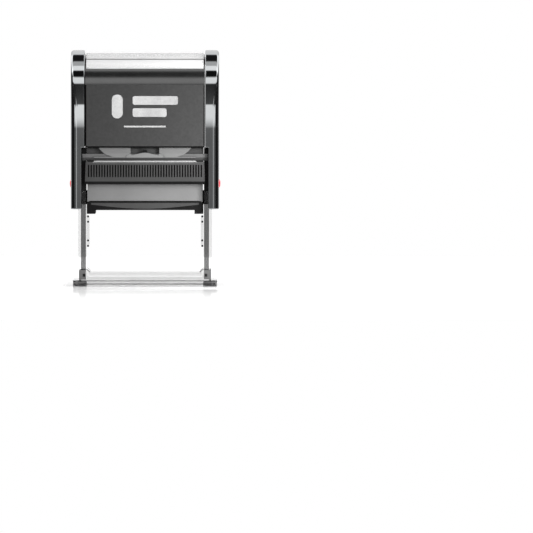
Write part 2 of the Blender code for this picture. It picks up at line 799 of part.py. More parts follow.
def make_arch(side, gloss):
    """A side shell: a side panel with returns over the front, top and rear, notched above the pillars."""
    name = f"side_arch_{side_name(side)}"
    x_low, x_high = across(side, ARCH_INNER, HOUSING_HALF_WIDTH)
    arch = prism(name, crown(SHOULDER_RADIUS, HOUSING_BOTTOM), "X", x_low, x_high, gloss)
    bm = bmesh.new()
    bm.from_mesh(arch.data)
    outer = side * HOUSING_HALF_WIDTH
    edges = [
        edge
        for edge in bm.edges
        if all(abs(v.co.x - outer) < GAP for v in edge.verts)
        and not all(abs(v.co.z - HOUSING_BOTTOM) < GAP for v in edge.verts)
    ]
    bmesh.ops.bevel(
        bm,
        geom=edges,
        offset=ARCH_BEVEL,
        offset_type="OFFSET",
        segments=ARCH_BEVEL_STEPS,
        profile=0.5,
        affect="EDGES",
    )
    bm.to_mesh(arch.data)
    bm.free()
    inner = crown(SHOULDER_RADIUS - RETURN_THICKNESS, HOUSING_BOTTOM - THROUGH)
    hollow_low, hollow_high = across(side, ARCH_INNER - THROUGH, HOUSING_HALF_WIDTH - SIDE_THICKNESS)
    hollow = prism(f"{name}_hollow_cutter", inner, "X", hollow_low, hollow_high)
    notch = side_block(
        f"{name}_notch_cutter",
        side,
        ARCH_INNER - THROUGH,
        PILLAR_INNER,
        (-HALF_DEPTH - THROUGH, HALF_DEPTH + THROUGH),
        (HOUSING_BOTTOM - THROUGH, PANEL_BOTTOM),
    )
    opening = rounded_rectangle(
        BUTTON_HALF_DEPTH + GAP,
        BUTTON_HALF_HEIGHT + GAP,
        BUTTON_HALF_HEIGHT,
        BUTTON_ROUND_STEPS,
        (0.0, BUTTON_Z),
    )
    cut_low, cut_high = across(side, ARM_OUTER, HOUSING_HALF_WIDTH + THROUGH)
    window = prism(f"{name}_button_cutter", opening, "X", cut_low, cut_high)
    carve(arch, hollow, notch, window)
    return arch


def make_cap(black):
    """The centre shell, pushed along X: recessed walls for the labels and a recessed crown for the card."""
    front_wall = [
        (-CAP_WALL_INNER, PANEL_BOTTOM),
        (-CAP_WALL_OUTER, PANEL_BOTTOM),
        (-CAP_WALL_OUTER, LABEL_TOP + GAP),
        (-SHOULDER_Y - CAP_RADIUS, LABEL_TOP + GAP),
    ]
    front_arc = arc((-SHOULDER_Y, SHOULDER_Z), CAP_RADIUS, math.pi, math.pi - WINDOW_START, CAP_EDGE_STEPS)
    outer_front = front_wall + front_arc
    recess = shoulders(CAP_RECESS_RADIUS, WINDOW_START)
    outer_rear = [(-y, z) for y, z in reversed(outer_front)]
    neck = [(CAP_WALL_INNER, CAP_NECK)]
    inner = list(reversed(shoulders(CAP_INNER_RADIUS, CAP_INNER_START)))
    outline = outer_front + recess + outer_rear + neck + inner + [(-CAP_WALL_INNER, CAP_NECK)]
    return prism("housing_cap", outline, "X", -CAP_HALF_WIDTH, CAP_HALF_WIDTH, black)


def crown_band(name, outer, inner, start, half_width, material):
    """A thin curved sheet over the crown between two radii."""
    outline = shoulders(outer, start) + list(reversed(shoulders(inner, start)))
    return prism(name, outline, "X", -half_width, half_width, material)


def make_labels(matte):
    """The matte panels set in the front and rear walls."""
    panels = []
    for end, name in ((-1, "label_panel_front"), (1, "label_panel_rear")):
        y_low, y_high = sorted((end * LABEL_BACK, end * (SHOULDER_Y + CAP_RADIUS)))
        panel = block(
            name,
            (-LABEL_HALF_WIDTH, y_low, PANEL_BOTTOM + GAP),
            (LABEL_HALF_WIDTH, y_high, LABEL_TOP),
            matte,
        )
        panels.append(panel)
    return panels


def make_button(side, red):
    """A lock button: a round-ended cap, ears that keep it in, and a stem that reaches the leg's slot."""
    name = f"lock_button_{side_name(side)}"
    outline = rounded_rectangle(
        BUTTON_HALF_DEPTH, BUTTON_HALF_HEIGHT, BUTTON_HALF_HEIGHT - GAP, BUTTON_ROUND_STEPS, (0.0, BUTTON_Z)
    )
    x_low, x_high = across(side, BUTTON_EAR_INNER, BUTTON_OUTER)
    button = prism(name, outline, "X", x_low, x_high, red)
    ears = side_block(
        f"{name}_ears_tool",
        side,
        BUTTON_EAR_INNER + HAIR,
        BUTTON_EAR_OUTER,
        (-BUTTON_EAR_HALF_DEPTH, BUTTON_EAR_HALF_DEPTH),
        (BUTTON_Z - STEM_HALF_HEIGHT, BUTTON_Z + STEM_HALF_HEIGHT),
    )
    fuse(button, ears)
    recess = side_block(
        f"{name}_recess_cutter",
        side,
        BUTTON_EAR_INNER - THROUGH,
        BUTTON_BACK,
        (-BUTTON_RECESS_HALF_DEPTH, BUTTON_RECESS_HALF_DEPTH),
        (BUTTON_Z - BUTTON_HALF_HEIGHT - THROUGH, BUTTON_Z + BUTTON_HALF_HEIGHT + THROUGH),
    )
    carve(button, recess)
    stem = side_block(
        f"{name}_stem_tool",
        side,
        STEM_INNER,
        BUTTON_BACK + OVERLAP,
        (-STEM_HALF_DEPTH, STEM_HALF_DEPTH),
        (BUTTON_Z - STEM_HALF_HEIGHT, BUTTON_Z + STEM_HALF_HEIGHT),
    )
    fuse(button, stem)
    return button


def joint_origin(name, point):
    """An empty on a joint's axis, which carries the pieces that move with it."""
    empty = bpy.data.objects.new(name, None)
    empty.empty_display_size = ORIGIN_SIZE
    empty.location = point
    bpy.context.collection.objects.link(empty)
    return empty


def attach(pieces, origin):
    """Parents the pieces to a joint's origin without moving them."""
    for piece in pieces:
        piece.parent = origin
        piece.matrix_parent_inverse = Matrix.Translation(-Vector(origin.location))


def build():
    """Makes every piece and hangs the moving ones on their joints' origins."""
    clear_scene()
    gunmetal = plastic("gloss_gunmetal", (0.035, 0.036, 0.038), 0.12)
    black = plastic("black_plastic", (0.012, 0.012, 0.012), 0.30)
    matte = plastic("matte_panel", (0.060, 0.060, 0.062), 0.45)
    satin_grey = plastic("satin_grey", (0.16, 0.16, 0.16), 0.35)
    dark_grey = plastic("dark_grey", (0.055, 0.057, 0.060), 0.30)
    light_grey = plastic("light_grey", (0.26, 0.26, 0.26), 0.30)
    smoky = plastic("smoky_clear", (0.35, 0.35, 0.36), 0.08, alpha=0.6)
    clear = plastic("clear_plastic", (0.85, 0.86, 0.87), 0.05, alpha=0.35)
    steel = plastic("spring_steel", (0.55, 0.55, 0.57), 0.25, metallic=1.0)
    felt = plastic("ink_felt", (0.02, 0.02, 0.05), 0.90)
    rubber = plastic("die_rubber", (0.30, 0.05, 0.04), 0.60)
    foam = plastic("cushion_foam", (0.75, 0.72, 0.62), 0.95)
    card = plastic("white_card", (0.90, 0.90, 0.89), 0.60)
    red = plastic("red_plastic", (0.55, 0.01, 0.02), 0.25)

    make_foot(clear)
    make_bridge(dark_grey)
    make_rail_trim(dark_grey, light_grey)
    for side in (-1, 1):
        make_clip(side, dark_grey)
        make_leg(side, smoky)
        for end in (-1, 1):
            make_cam(side, end, clear)
        rod(
            f"spring_post_{side_name(side)}",
            POST_RADIUS,
            (side * SPRING_X, 0, LEG_TOP + GAP),
            (side * SPRING_X, 0, POST_TOP),
            dark_grey,
        )
        spring = f"return_spring_{side_name(side)}"
        coil(spring, side * SPRING_X, LEG_TOP + GAP, CROSSBAR_BOTTOM - GAP, steel)

    drawer = [make_cartridge(black), make_ink_pad(felt), make_grip(dark_grey)]
    attach(drawer, joint_origin("pad_slide_origin", (0, -TRAY_FRONT, CARTRIDGE_TOP)))

    plate = [
        make_carrier(black),
        make_text_plate(satin_grey),
        make_cushion(foam),
        make_die(rubber),
        make_pin(-1, steel),
        make_pin(1, steel),
    ]
    attach(plate, joint_origin("plate_flip_origin", (0, 0, AXLE_HEIGHT)))

    housing = [make_yoke(black), make_cap(black)]
    housing += make_labels(matte)
    housing += [make_arch(side, gunmetal) for side in (-1, 1)]
    housing.append(
        crown_band(
            "index_card",
            CARD_OUTER_RADIUS,
            CARD_INNER_RADIUS,
            WINDOW_START + WINDOW_END_GAP,
            CARD_HALF_WIDTH,
            card,
        )
    )
    attach(housing, joint_origin("press_origin", (0, 0, HOUSING_BOTTOM)))

    window = crown_band(
        "index_window",
        CAP_RADIUS,
        WINDOW_INNER_RADIUS,
        WINDOW_START + WINDOW_END_GAP,
        LABEL_HALF_WIDTH,
        clear,
    )
    attach([window], joint_origin("index_window_origin", (0, 0, HOUSING_TOP)))

    for side in (-1, 1):
        origin = joint_origin(f"lock_{side_name(side)}_origin", (side * BUTTON_OUTER, 0, BUTTON_Z))
        attach([make_button(side, red)], origin)


build()
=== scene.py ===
"""Looks for the self inking stamp: fine meshes over the CAD frame, materials, studio light and camera.

Lengths are in metres, written as millimetres times MM. X goes to the right, Y to the rear, Z up.
"""

import json
import math

import bmesh
import bpy
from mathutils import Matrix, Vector

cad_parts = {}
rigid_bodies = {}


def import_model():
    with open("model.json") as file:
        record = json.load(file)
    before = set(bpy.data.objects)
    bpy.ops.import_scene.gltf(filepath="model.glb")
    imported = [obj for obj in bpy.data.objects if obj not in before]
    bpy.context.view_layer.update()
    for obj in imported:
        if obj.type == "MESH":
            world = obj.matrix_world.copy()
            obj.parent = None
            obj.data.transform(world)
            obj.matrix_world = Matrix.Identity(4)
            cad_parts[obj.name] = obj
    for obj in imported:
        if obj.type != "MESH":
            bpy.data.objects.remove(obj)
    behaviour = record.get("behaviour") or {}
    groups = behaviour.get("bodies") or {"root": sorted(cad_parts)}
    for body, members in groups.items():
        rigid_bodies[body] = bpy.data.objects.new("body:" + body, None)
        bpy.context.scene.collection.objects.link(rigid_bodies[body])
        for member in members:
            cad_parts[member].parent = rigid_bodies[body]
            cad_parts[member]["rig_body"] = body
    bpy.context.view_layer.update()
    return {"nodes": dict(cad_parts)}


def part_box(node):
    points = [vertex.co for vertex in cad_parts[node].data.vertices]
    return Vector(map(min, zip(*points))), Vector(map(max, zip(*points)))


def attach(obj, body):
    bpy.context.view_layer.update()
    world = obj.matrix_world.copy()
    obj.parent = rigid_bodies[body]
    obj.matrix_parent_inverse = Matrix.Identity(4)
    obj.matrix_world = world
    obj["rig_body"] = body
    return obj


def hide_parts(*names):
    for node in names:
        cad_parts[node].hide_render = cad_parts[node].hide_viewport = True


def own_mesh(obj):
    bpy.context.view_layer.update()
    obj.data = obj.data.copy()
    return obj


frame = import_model()
nodes = frame["nodes"]

MM = 0.001


def box(node):
    """Low and high corners of a CAD node, in metres."""
    low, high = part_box(node)
    return Vector(low), Vector(high)


def middle_height(node):
    """Height of the middle of a CAD node."""
    low, high = box(node)
    return (low.z + high.z) / 2


# ---------------------------------------------------------------- materials

M = {}
NOISE_LOW, NOISE_HIGH = 0.3, 0.7


def new_material(name):
    """Puts a new material in M, and gives its node tree and its main shader."""
    material = bpy.data.materials.new(name)
    material.use_nodes = True
    M[name] = material
    tree = material.node_tree
    return tree, tree.nodes["Principled BSDF"]


def coordinates(tree):
    """The object's own coordinates, in metres."""
    return tree.nodes.new("ShaderNodeTexCoord").outputs["Object"]


def calculate(tree, operation, *values):
    """A math node over numbers or sockets."""
    node = tree.nodes.new("ShaderNodeMath")
    node.operation = operation
    for socket, value in zip(node.inputs, values):
        if isinstance(value, (int, float)):
            socket.default_value = value
        else:
            tree.links.new(value, socket)
    return node.outputs[0]


def noise(tree, vector, scale, detail=4.0):
    """Fractal noise, most of it between 0.3 and 0.7."""
    node = tree.nodes.new("ShaderNodeTexNoise")
    node.inputs["Scale"].default_value = scale
    node.inputs["Detail"].default_value = detail
    node.inputs["Roughness"].default_value = 0.55
    tree.links.new(vector, node.inputs["Vector"])
    return node.outputs["Fac"]


def ranged(tree, value, to_low, to_high, low=NOISE_LOW, high=NOISE_HIGH, interpolation="LINEAR"):
    """Maps a value between low and high to a number between to_low and to_high."""
    node = tree.nodes.new("ShaderNodeMapRange")
    node.interpolation_type = interpolation
    for socket, number in zip(("From Min", "From Max", "To Min", "To Max"), (low, high, to_low, to_high)):
        node.inputs[socket].default_value = number
    tree.links.new(value, node.inputs["Value"])
    return node.outputs["Result"]


def shades(tree, value, dark, light):
    """A blend of two colours over a noise value."""
    ramp = tree.nodes.new("ShaderNodeValToRGB")
    elements = ramp.color_ramp.elements
    for element, position, color in zip(elements, (NOISE_LOW, NOISE_HIGH), (dark, light)):
        element.position = position
        element.color = (*color, 1.0)
    tree.links.new(value, ramp.inputs["Fac"])
    return ramp.outputs["Color"]


def bump(tree, shader, height, strength, distance):
    """Raises the shader's surface by a height value times a distance in metres."""
    node = tree.nodes.new("ShaderNodeBump")
    node.inputs["Strength"].default_value = strength
    node.inputs["Distance"].default_value = distance
    tree.links.new(height, node.inputs["Height"])
    tree.links.new(node.outputs["Normal"], shader.inputs["Normal"])


def moulded(
    name, dark, light, rough, grain=900.0, grain_depth=0.00001, grain_strength=0.2, tone=70.0, **sockets
):
    """An opaque material: slow colour change, finer roughness change and a fine surface grain."""
    tree, shader = new_material(name)
    vector = coordinates(tree)
    slow = noise(tree, vector, tone, 5.0)
    fine = noise(tree, vector, grain * 0.35, 3.0)
    tree.links.new(shades(tree, slow, dark, light), shader.inputs["Base Color"])
    tree.links.new(ranged(tree, fine, *rough), shader.inputs["Roughness"])
    bump(tree, shader, noise(tree, vector, grain, 2.0), grain_strength, grain_depth)
    for socket, value in sockets.items():
        shader.inputs[socket.replace("_", " ")].default_value = value


def material_output(tree):
    """The output node that a new material comes with."""
    return next(node for node in tree.nodes if node.type == "OUTPUT_MATERIAL")


def mixed_shader(tree, share, first, second):
    """A mix of two shaders, with the share of the second."""
    mix = tree.nodes.new("ShaderNodeMixShader")
    for socket, value in zip(mix.inputs, (share, first, second)):
        tree.links.new(value, socket)
    return mix.outputs[0]


def grey(value):
    """A neutral colour."""
    return (value, value, value)


def clear_plastic(name, tint, density, roughest=0.03):
    """Clear plastic that darkens with the length of plastic that light crosses."""
    tree, shader = new_material(name)
    vector = coordinates(tree)
    shader.inputs["Transmission Weight"].default_value = 1.0
    shader.inputs["IOR"].default_value = 1.49
    haze = noise(tree, vector, 260.0)
    tree.links.new(ranged(tree, haze, 0.0, roughest), shader.inputs["Roughness"])
    color = shades(tree, noise(tree, vector, 90.0), grey(tint), grey(min(1.0, tint * 1.03)))
    tree.links.new(color, shader.inputs["Base Color"])
    bump(tree, shader, noise(tree, vector, 120.0, 1.0), 0.02, 0.000002)
    volume = tree.nodes.new("ShaderNodeVolumeAbsorption")
    volume.inputs["Color"].default_value = (*grey(0.5), 1.0)
    volume.inputs["Density"].default_value = density
    tree.links.new(volume.outputs["Volume"], material_output(tree).inputs["Volume"])


FINE_GRAIN = {"grain": 1200.0, "grain_depth": 0.000012, "grain_strength": 0.3}

moulded(
    "gloss_gunmetal", (0.178, 0.183, 0.186), (0.195, 0.200, 0.202), (0.03, 0.07),
    grain=500.0, grain_depth=0.000002, grain_strength=0.04, tone=60.0, Metallic=1.0,
)
moulded("black_plastic", grey(0.0020), grey(0.0040), (0.30, 0.42), grain=1400.0, Specular_IOR_Level=0.03)
moulded("crown_gloss", grey(0.0025), grey(0.0040), (0.15, 0.20), grain=1400.0, Specular_IOR_Level=0.5)
moulded(
    "matte_panel", grey(0.0112), grey(0.0148), (0.40, 0.50),
    grain=1500.0, grain_depth=0.00002, grain_strength=0.55, tone=700.0, Specular_IOR_Level=0.12,
)
moulded("satin_grey", grey(0.050), grey(0.057), (0.34, 0.44), **FINE_GRAIN, Specular_IOR_Level=0.5)
moulded("dark_grey", grey(0.014), grey(0.018), (0.28, 0.40), **FINE_GRAIN, Specular_IOR_Level=0.15)
moulded("light_grey", grey(0.038), grey(0.045), (0.28, 0.38), **FINE_GRAIN, Specular_IOR_Level=0.6)
moulded("rail_grey", grey(0.028), grey(0.034), (0.34, 0.44), **FINE_GRAIN, Specular_IOR_Level=0.5)
moulded(
    "lip_grey", grey(0.135), grey(0.150), (0.20, 0.30),
    grain=1200.0, grain_depth=0.000008, grain_strength=0.2, Specular_IOR_Level=0.9,
)
moulded(
    "window_clear", grey(0.50), grey(0.56), (0.05, 0.10),
    grain=300.0, grain_depth=0.0000004, grain_strength=0.02, tone=60.0, Alpha=0.08,
)
moulded(
    "spring_steel", grey(0.50), grey(0.62), (0.18, 0.30),
    grain=2500.0, grain_depth=0.000006, grain_strength=0.2, tone=300.0, Metallic=1.0,
)
moulded(
    "ink_felt", (0.012, 0.012, 0.03), (0.03, 0.03, 0.07), (0.85, 0.98),
    grain=1800.0, grain_depth=0.0002, grain_strength=1.0, tone=400.0, Sheen_Weight=0.3,
)
moulded(
    "die_rubber", (0.24, 0.035, 0.028), (0.31, 0.055, 0.042), (0.50, 0.66),
    grain=1500.0, grain_depth=0.00003, grain_strength=0.5, tone=150.0,
)
moulded(
    "cushion_foam", (0.62, 0.58, 0.48), (0.74, 0.70, 0.60), (0.90, 0.98),
    grain=2200.0, grain_depth=0.0003, grain_strength=1.0, tone=500.0,
)
moulded(
    "white_card", grey(0.305), grey(0.313), (0.55, 0.60),
    grain=2500.0, grain_depth=0.000001, grain_strength=0.05, tone=120.0, Specular_IOR_Level=0.0,
)
moulded(
    "red_plastic", (0.50, 0.006, 0.012), (0.62, 0.010, 0.018), (0.18, 0.28),
    grain_depth=0.000008, grain_strength=0.15,
)
moulded(
    "silver_print", grey(0.46), grey(0.62), (0.20, 0.24),
    grain=2200.0, grain_depth=0.0000005, grain_strength=0.05, tone=60.0, Metallic=1.0,
)
# A darker copy of the leg's clear plastic for its web: painted shade.
clear_plastic("smoky_clear", 0.97, 96.0, 0.04)
clear_plastic("clear_plastic", 0.985, 65.0)
clear_plastic("pale_clear", 0.985, 26.0)
# A darker copy of the clear plastic for the foot's bevels and its inset middle layer: painted shade.
clear_plastic("clear_shaded_edge", 0.95, 300.0)
clear_plastic("clear_rim", 0.97, 250.0)

# ---------------------------------------------------------------- mesh tools


def prism(outline, axis, low, high):
    """A bmesh of an outline pushed along an axis. The outline is (y, z) on X, (x, z) on Y, (x, y) on Z."""
    place = {
        "X": lambda a, b, along: (along, a, b),
        "Y": lambda a, b, along: (a, along, b),
        "Z": lambda a, b, along: (a, b, along),
    }[axis]
    bm = bmesh.new()
    start = [bm.verts.new(place(a, b, low)) for a, b in outline]
    end = [bm.verts.new(place(a, b, high)) for a, b in outline]
    bm.faces.new(start)
    bm.faces.new(end)
    for i in range(len(outline)):
        j = (i + 1) % len(outline)
        bm.faces.new((start[i], start[j], end[j], end[i]))
    return bm


def arc(centre, radius, start, end, steps):
    """Points on an arc, both ends included. Angles in radians."""
    angles = [start + (end - start) * i / steps for i in range(steps + 1)]
    return [(centre[0] + radius * math.cos(a), centre[1] + radius * math.sin(a)) for a in angles]


def circle(centre, radius, steps):
    """Points once round a circle."""
    return arc(centre, radius, 0.0, math.tau, steps)[:-1]


def in_metres(points):
    """Points given in millimetres, in metres."""
    return [(a * MM, b * MM) for a, b in points]


def mirrored(points):
    """The same points at the other side of the middle, in reverse order."""
    return [(-a, b) for a, b in reversed(points)]


def rounded_rectangle(half_a, half_b, radius, steps, centre=(0.0, 0.0)):
    """Points round a rectangle whose corners are arcs."""
    points = []
    for quarter, (a, b) in enumerate(((1, 1), (-1, 1), (-1, -1), (1, -1))):
        corner = (centre[0] + a * (half_a - radius), centre[1] + b * (half_b - radius))
        points += arc(corner, radius, quarter * math.pi / 2, (quarter + 1) * math.pi / 2, steps)
    return points


def block(low, high):
    """A bmesh of the box between two corners."""
    outline = [(low[0], low[1]), (high[0], low[1]), (high[0], high[1]), (low[0], high[1])]
    return prism(outline, "Z", low[2], high[2])


def gathered(parts):
    """One bmesh that holds all the parts. The parts are freed."""
    whole = bmesh.new()
    for part in parts:
        mesh = bpy.data.meshes.new("part")
        part.to_mesh(mesh)
        part.free()
        whole.from_mesh(mesh)
        bpy.data.meshes.remove(mesh)
    return whole


def loft(bm, rings):
    """Faces between rings of vertices, and one over each end."""
    for near, far in zip(rings, rings[1:]):
        for i in range(len(near)):
            j = (i + 1) % len(near)
            bm.faces.new((near[i], near[j], far[j], far[i]))
    bm.faces.new(rings[0])
    bm.faces.new(rings[-1])


def linked(name, mesh):
    """An object in the scene that holds the mesh."""
    made = bpy.data.objects.new(name, mesh)
    bpy.context.scene.collection.objects.link(made)
    return made


def as_object(name, bm):
    """An object made of a bmesh, which is freed."""
    bmesh.ops.recalc_face_normals(bm, faces=bm.faces)
    mesh = bpy.data.meshes.new(name)
    bm.to_mesh(mesh)
    bm.free()
    return linked(name, mesh)


def cad_copy(node, name):
    """An object that holds a copy of a CAD node's mesh."""
    return linked(name, nodes[node].data.copy())


def apply_modifiers(made):
    """Replaces the object's mesh with what its modifiers make of it."""
    depsgraph = bpy.context.evaluated_depsgraph_get()
    mesh = bpy.data.meshes.new_from_object(made.evaluated_get(depsgraph), depsgraph=depsgraph)
    made.modifiers.clear()
    made.data = mesh


def combine(made, tools, operation):
    """Joins or cuts with bmesh tools, and removes them."""
    helpers = [as_object("tool", tool) for tool in tools]
    for helper in helpers:
        modifier = made.modifiers.new("shape", "BOOLEAN")
        modifier.operation = operation
        modifier.object = helper
        modifier.solver = "EXACT"
    apply_modifiers(made)
    for helper in helpers:
        bpy.data.objects.remove(helper, do_unlink=True)


def soften(made, width, segments=2, limit=40.0):
    """Rounds the edges sharper than the limit in degrees, if there is a width, and shades the rest smooth."""
    if width:
        flat = made.modifiers.new("flat", "DECIMATE")
        flat.decimate_type = "DISSOLVE"
        flat.angle_limit = math.radians(0.5)
        edge = made.modifiers.new("edge", "BEVEL")
        edge.width = width
        edge.segments = segments
        edge.limit_method = "ANGLE"
        edge.angle_limit = math.radians(limit)
        edge.use_clamp_overlap = True
        apply_modifiers(made)
    made.data.shade_smooth()
    made.data.set_sharp_from_angle(angle=math.radians(35.0))
    weight = made.modifiers.new("weight", "WEIGHTED_NORMAL")
    weight.keep_sharp = True
    apply_modifiers(made)


def finish_piece(made, body, material, stands_for=(), second=None, where=None):
    """Gives the piece its material and hangs it on its body.

    Faces that where() picks get a second material.
    """
    made.data.materials.clear()
    made.data.materials.append(M[material])
    if second:
        made.data.materials.append(M[second])
    for face in made.data.polygons:
        face.material_index = 1 if second and where(face) else 0
    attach(made, body)
    if stands_for:
        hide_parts(*stands_for)


def body_of(node):
    """The body that a CAD node hangs on."""
    return nodes[node]["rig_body"]


def carry(node, material, width):
    """A CAD node's own shape with softened edges."""
    made = cad_copy(node, f"{node}_fine")
    soften(made, width)
    finish_piece(made, body_of(node), material, [node])
    return made


# ---------------------------------------------------------------- housing

ARCH_LOW, ARCH_HIGH = box("side_arch_left")
HALF_DEPTH = ARCH_HIGH.y
TOP = ARCH_HIGH.z
BOTTOM = ARCH_LOW.z
ARCH_OUT = -ARCH_LOW.x
ARCH_IN = -ARCH_HIGH.x
SHOULDER = 18.0 * MM
SHOULDER_Y = HALF_DEPTH - SHOULDER
SHOULDER_Z = TOP - SHOULDER
PANEL_BOTTOM = box("label_panel_front")[0].z - 0.3 * MM
CAP_LOW, CAP_HIGH = box("housing_cap")
CAP_RADIUS = 17.6 * MM
WINDOW_START = math.radians(28.3)
CARD_IN, CARD_OUT = 16.0 * MM, 16.3 * MM
CREASE_ANGLE = math.radians(55.0)


def face_profile():
    """Front of an arch as (y, z): straight, leaning back, then the shoulder to the top centre."""
    lean_start = 82.0 * MM
    lean_end = 96.7 * MM
    lean = math.radians(6.0)
    fall = math.radians(-1.5)
    lean_steps, fall_steps, shoulder_steps = 10, 6, 40
    points = [(-HALF_DEPTH, BOTTOM), (-HALF_DEPTH, BOTTOM + 20 * MM), (-HALF_DEPTH, lean_start)]
    depth = 0.0
    rise = (lean_end - lean_start) / lean_steps
    for i in range(lean_steps):
        depth += math.tan(lean * (i + 0.5) / lean_steps) * rise
        points.append((-HALF_DEPTH + depth, lean_start + rise * (i + 1)))
    kink_depth = depth
    for i in range(fall_steps):
        z = lean_end + (SHOULDER_Z - lean_end) * (i + 1) / fall_steps
        depth = kink_depth + math.tan(fall) * (z - lean_end)
        points.append((-HALF_DEPTH + depth, z))
    radius = SHOULDER - depth
    for i in range(1, shoulder_steps + 1):
        angle = math.pi / 2 * i / shoulder_steps
        points.append((-SHOULDER_Y - radius * math.cos(angle), SHOULDER_Z + SHOULDER * math.sin(angle)))
    return points


def arch_shell(side):
    """The outside of an arch as a solid. Its outer edge is rounder on the pillars than on the crown."""
    half = face_profile()
    profile = half + mirrored(half)
    normals = []
    for i in range(len(profile)):
        before = profile[max(i - 1, 0)]
        after = profile[min(i + 1, len(profile) - 1)]
        along = Vector((after[0] - before[0], after[1] - before[1])).normalized()
        normals.append(Vector((-along.y, along.x)))
    crown_radius, pillar_extra = 1.6, 2.1
    blend_top, blend_height = 113.0 * MM, 17.0 * MM
    bm = bmesh.new()
    rows = []
    steps = 10
    for (y, z), normal in zip(profile, normals):
        blend = min(1.0, max(0.0, (blend_top - z) / blend_height))
        radius = (crown_radius + pillar_extra * blend) * MM
        row = [bm.verts.new((side * ARCH_IN, y, z))]
        for k in range(steps + 1):
            turn = math.pi / 2 * k / steps
            inset = radius * (1 - math.cos(turn))
            x = ARCH_OUT - radius + radius * math.sin(turn)
            row.append(bm.verts.new((side * x, y - normal.x * inset, z - normal.y * inset)))
        rows.append(row)
    for near, far in zip(rows, rows[1:]):
        for k in range(steps + 1):
            bm.faces.new((near[k], near[k + 1], far[k + 1], far[k]))
    bm.faces.new([row[0] for row in rows])
    bm.faces.new([row[-1] for row in reversed(rows)])
    bm.faces.new(list(reversed(rows[0])) + rows[-1])
    return bm


def shoulders(radius, start, steps=32):
    """Points (y, z) over both shoulders, from an angle above the front to the same angle above the rear."""
    front = arc((-SHOULDER_Y, SHOULDER_Z), radius, math.pi - start, math.pi / 2, steps)
    rear = arc((SHOULDER_Y, SHOULDER_Z), radius, math.pi / 2, start, steps)
    return front + rear


def crown(radius, bottom):
    """Outline (y, z) of the whole housing from the side, down to a bottom."""
    half = SHOULDER_Y + radius
    return [(-half, bottom)] + shoulders(radius, 0.0, 40) + [(half, bottom)]


def span(side, inner, outer):
    """Low and high x of a range given outwards from the middle, on side -1 or 1."""
    return min(side * inner, side * outer), max(side * inner, side * outer)


def make_arch(side, name):
    """A side arch: hollow, open above the drawer, with a hole for its lock button."""
    made = as_object(f"{name}_fine", arch_shell(side))
    wall = 1.6 * MM
    low, high = span(side, ARCH_IN - 2 * MM, ARCH_OUT - 2.2 * MM)
    hollow = prism(crown(SHOULDER - wall, BOTTOM - 2 * MM), "X", low, high)
    low, high = span(side, ARCH_IN - 2 * MM, 33.5 * MM)
    notch = block((low, -HALF_DEPTH - MM, BOTTOM - 2 * MM), (high, HALF_DEPTH + MM, PANEL_BOTTOM))
    opening = rounded_rectangle(5.5 * MM, 2.75 * MM, 2.7 * MM, 8, (0.0, middle_height("lock_button_left")))
    low, high = span(side, 36.5 * MM, ARCH_OUT + 2 * MM)
    combine(made, [hollow, notch, prism(opening, "X", low, high)], "DIFFERENCE")
    soften(made, 0.45 * MM, 3, 50.0)

    # Faces that look down over the notch and inside the arch get black plastic: painted shade under the arch.
    def shaded_underside(face):
        return face.normal.z < -0.3 and face.center.z > BOTTOM + 10 * MM and abs(face.center.x) < 34 * MM

    finish_piece(made, "housing", "gloss_gunmetal", [name], "black_plastic", shaded_underside)


make_arch(-1, "side_arch_left")
make_arch(1, "side_arch_right")


def make_cap():
    """The centre shell: walls behind the labels, shoulders, and a thin top under the card."""
    wall = 26.8 * MM
    inner_wall = 25.5 * MM
    inner_top = 110.4 * MM
    label_top = SHOULDER_Z - 0.1 * MM
    edge = SHOULDER_Y + CAP_RADIUS
    outer = [(-inner_wall, CAP_LOW.z), (-wall, CAP_LOW.z), (-wall, label_top), (-edge, label_top)]
    outer += arc((-SHOULDER_Y, SHOULDER_Z), CAP_RADIUS, math.pi, math.pi - WINDOW_START, 14)
    outline = outer + shoulders(15.7 * MM, WINDOW_START) + mirrored(outer) + [(inner_wall, inner_top)]
    outline += list(reversed(shoulders(14.4 * MM, math.radians(22.0), 20))) + [(-inner_wall, inner_top)]
    made = as_object("housing_cap_fine", prism(outline, "X", CAP_LOW.x, CAP_HIGH.x))
    soften(made, 0.08 * MM, 2, 50.0)

    def below_shoulder(face):
        return face.center.z < SHOULDER_Z - MM

    finish_piece(made, "housing", "crown_gloss", ["housing_cap"], "black_plastic", below_shoulder)


make_cap()


def band(outer, inner, start, half_width):
    """A bmesh of a bent sheet between two radii over the shoulders."""
    outline = shoulders(outer, start) + list(reversed(shoulders(inner, start)))
    return prism(outline, "X", -half_width, half_width)


def crease_shade_face(face):
    """True inside the creases pressed into the card, whose dark grey is painted shade."""
    y, z = abs(face.center.y) - SHOULDER_Y, face.center.z - SHOULDER_Z
    away = abs(math.atan2(z, y) - CREASE_ANGLE)
    return away < math.radians(2.2) and CARD_IN + 0.02 * MM < math.hypot(y, z) < CARD_OUT - 0.03 * MM


def make_window_and_card():
    """The clear cover over the top, and the white card under it with a crease near its front and rear, dark
    grey inside as painted shade.
    """
    start = WINDOW_START + math.radians(0.6)
    window = as_object("index_window_fine", band(CAP_RADIUS, 16.6 * MM, start, 31.3 * MM))
    soften(window, 0.15 * MM, 2, 50.0)
    finish_piece(window, "index_cover", "window_clear", ["index_window"])
    card = as_object("index_card_fine", band(CARD_OUT, CARD_IN, start, 31.0 * MM))
    cutter_out = CARD_OUT + 0.48 * MM
    y = SHOULDER_Y + cutter_out * math.cos(CREASE_ANGLE)
    z = SHOULDER_Z + cutter_out * math.sin(CREASE_ANGLE)
    cuts = [prism(circle((end * y, z), 0.75 * MM, 32), "X", -32 * MM, 32 * MM) for end in (-1, 1)]
    combine(card, cuts, "DIFFERENCE")
    soften(card, 0.0)
    # The crease faces get dark grey: painted shade in the creases.
    finish_piece(card, "housing", "white_card", ["index_card"], "dark_grey", crease_shade_face)


make_window_and_card()


